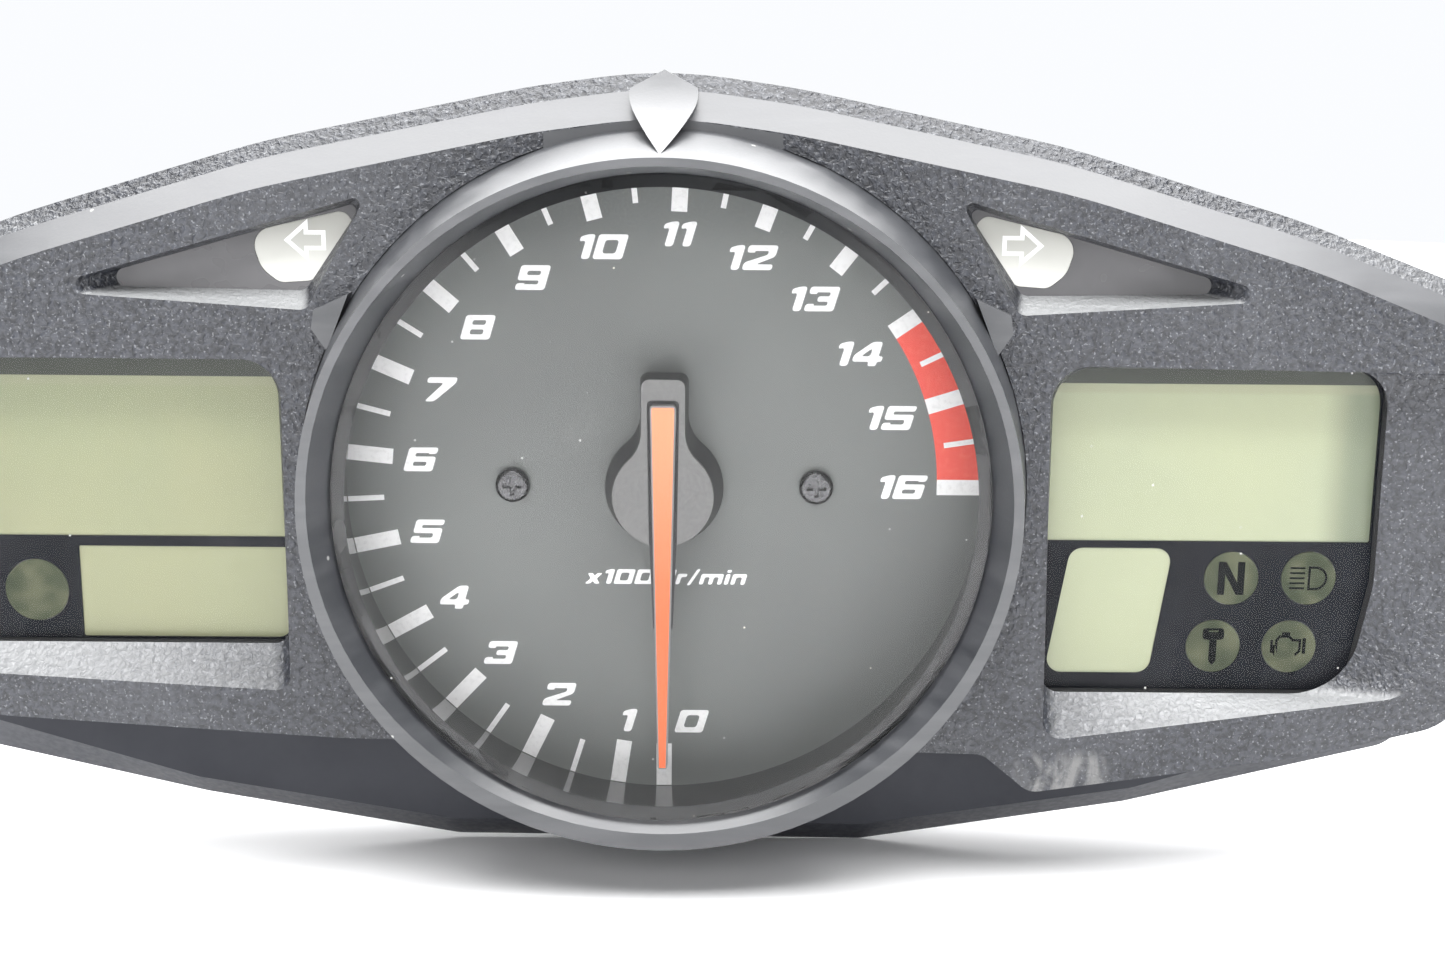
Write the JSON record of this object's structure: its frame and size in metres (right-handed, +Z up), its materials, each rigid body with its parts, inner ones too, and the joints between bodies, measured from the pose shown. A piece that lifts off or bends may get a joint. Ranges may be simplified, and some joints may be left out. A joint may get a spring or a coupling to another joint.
{
  "type": "motorcycle instrument cluster",
  "caption": "Motorcycle instrument cluster: round analogue tachometer in a leaning hood between digital displays, turn-signal windows, push buttons, rear case and mounting posts.",
  "frame": {"origin": "centre of the rear mounting pattern, on the tachometer's axis, in the plane of the threaded inserts' faces", "axes": "+X to the rider's right along the cluster, +Y away from the rider through the back, +Z up; the dial faces -Y"},
  "size_m": [0.2323, 0.0644, 0.1089],
  "materials": {
    "bezel_plastic": "fine pebble grain",
    "trim_plastic": "smooth satin",
    "case_plastic": "satin moulded",
    "clear_lens": "clear polished",
    "shroud_gloss": "gloss",
    "dial_print": "satin print",
    "screw_black": "black oxide",
    "screw_steel": "zinc plated",
    "pointer_black": "satin",
    "pointer_red": "satin",
    "steel": "turned",
    "magnet": "sintered",
    "light_guide": "polished",
    "movement_plastic": "moulded",
    "brass": "turned",
    "copper": "enamelled winding",
    "mask_black": "smoked gloss",
    "lcd_glass": "reflective twisted-nematic",
    "lamp_filter": "smoked",
    "diffuser_white": "milky",
    "white_plastic": "reflective white",
    "rubber": "moulded",
    "board_green": "solder mask",
    "led_white": "resin",
    "chip_black": "epoxy",
    "capacitor_can": "sleeved can",
    "button_plastic": "satin",
    "connector_plastic": "moulded"
  },
  "bodies": {
    "case": {"backlight_leds": "led_white", "board_screws": "screw_steel", "breather": "rubber", "capacitors": "capacitor_can", "case_screws": "screw_steel", "case_seal": "rubber", "circuit_board": "board_green", "clock_lcd_cell": "lcd_glass", "connector_header": "connector_plastic", "connector_pins": "brass", "cosine_coil": "copper", "dial_light_guide": "light_guide", "dial_plate": "dial_print", "dial_screws": "screw_black", "dial_shroud": "shroud_gloss", "driver_chips": "chip_black", "front_bezel": "bezel_plastic", "front_bush": "brass", "lamp_filters": "lamp_filter", "lamp_tubes": "white_plastic", "lcd_contact_strips": "rubber", "left_backlight": "diffuser_white", "left_display_frame": "white_plastic", "left_display_lens": "clear_lens", "left_display_mask": "mask_black", "left_turn_diffuser": "diffuser_white", "left_turn_mask": "mask_black", "left_turn_tunnel": "white_plastic", "light_chassis": "white_plastic", "mount_grommets": "rubber", "mount_inserts": "steel", "movement_bobbin": "movement_plastic", "movement_frame": "movement_plastic", "processor": "chip_black", "rear_bush": "brass", "rear_case": "case_plastic", "right_backlight": "diffuser_white", "right_display_frame": "white_plastic", "right_display_lens": "clear_lens", "right_display_mask": "mask_black", "right_turn_diffuser": "diffuser_white", "right_turn_mask": "mask_black", "right_turn_tunnel": "white_plastic", "ring_trim": "trim_plastic", "shield_can": "steel", "sine_coil": "copper", "speed_lcd_cell": "lcd_glass", "tach_lens": "clear_lens", "tact_switches": "chip_black", "temperature_lcd_cell": "lcd_glass", "trip_lcd_cell": "lcd_glass", "turn_leds": "led_white", "warning_leds": "led_white"},
    "pointer": {"pointer_hub": "pointer_black", "pointer_blade": "pointer_red", "pointer_spindle": "steel", "rotor_magnet": "magnet"},
    "select_key": {"select_button": "button_plastic"},
    "adjust_key": {"adjust_button": "button_plastic"}
  },
  "joints": [
    {"name": "pointer_sweep", "type": "hinge", "parent": "case", "child": "pointer", "pos_m": [0, 0, 0], "axis": [0, 1, 0], "range_deg": [0, 270]},
    {"name": "select_press", "type": "slide", "parent": "case", "child": "select_key", "axis": [0, 1, 0], "range_m": [0, 0.001], "stiffness_N_per_m": 800, "springref_m": -0.0005},
    {"name": "adjust_press", "type": "slide", "parent": "case", "child": "adjust_key", "axis": [0, 1, 0], "range_m": [0, 0.001], "stiffness_N_per_m": 800, "springref_m": -0.0005}
  ]
}
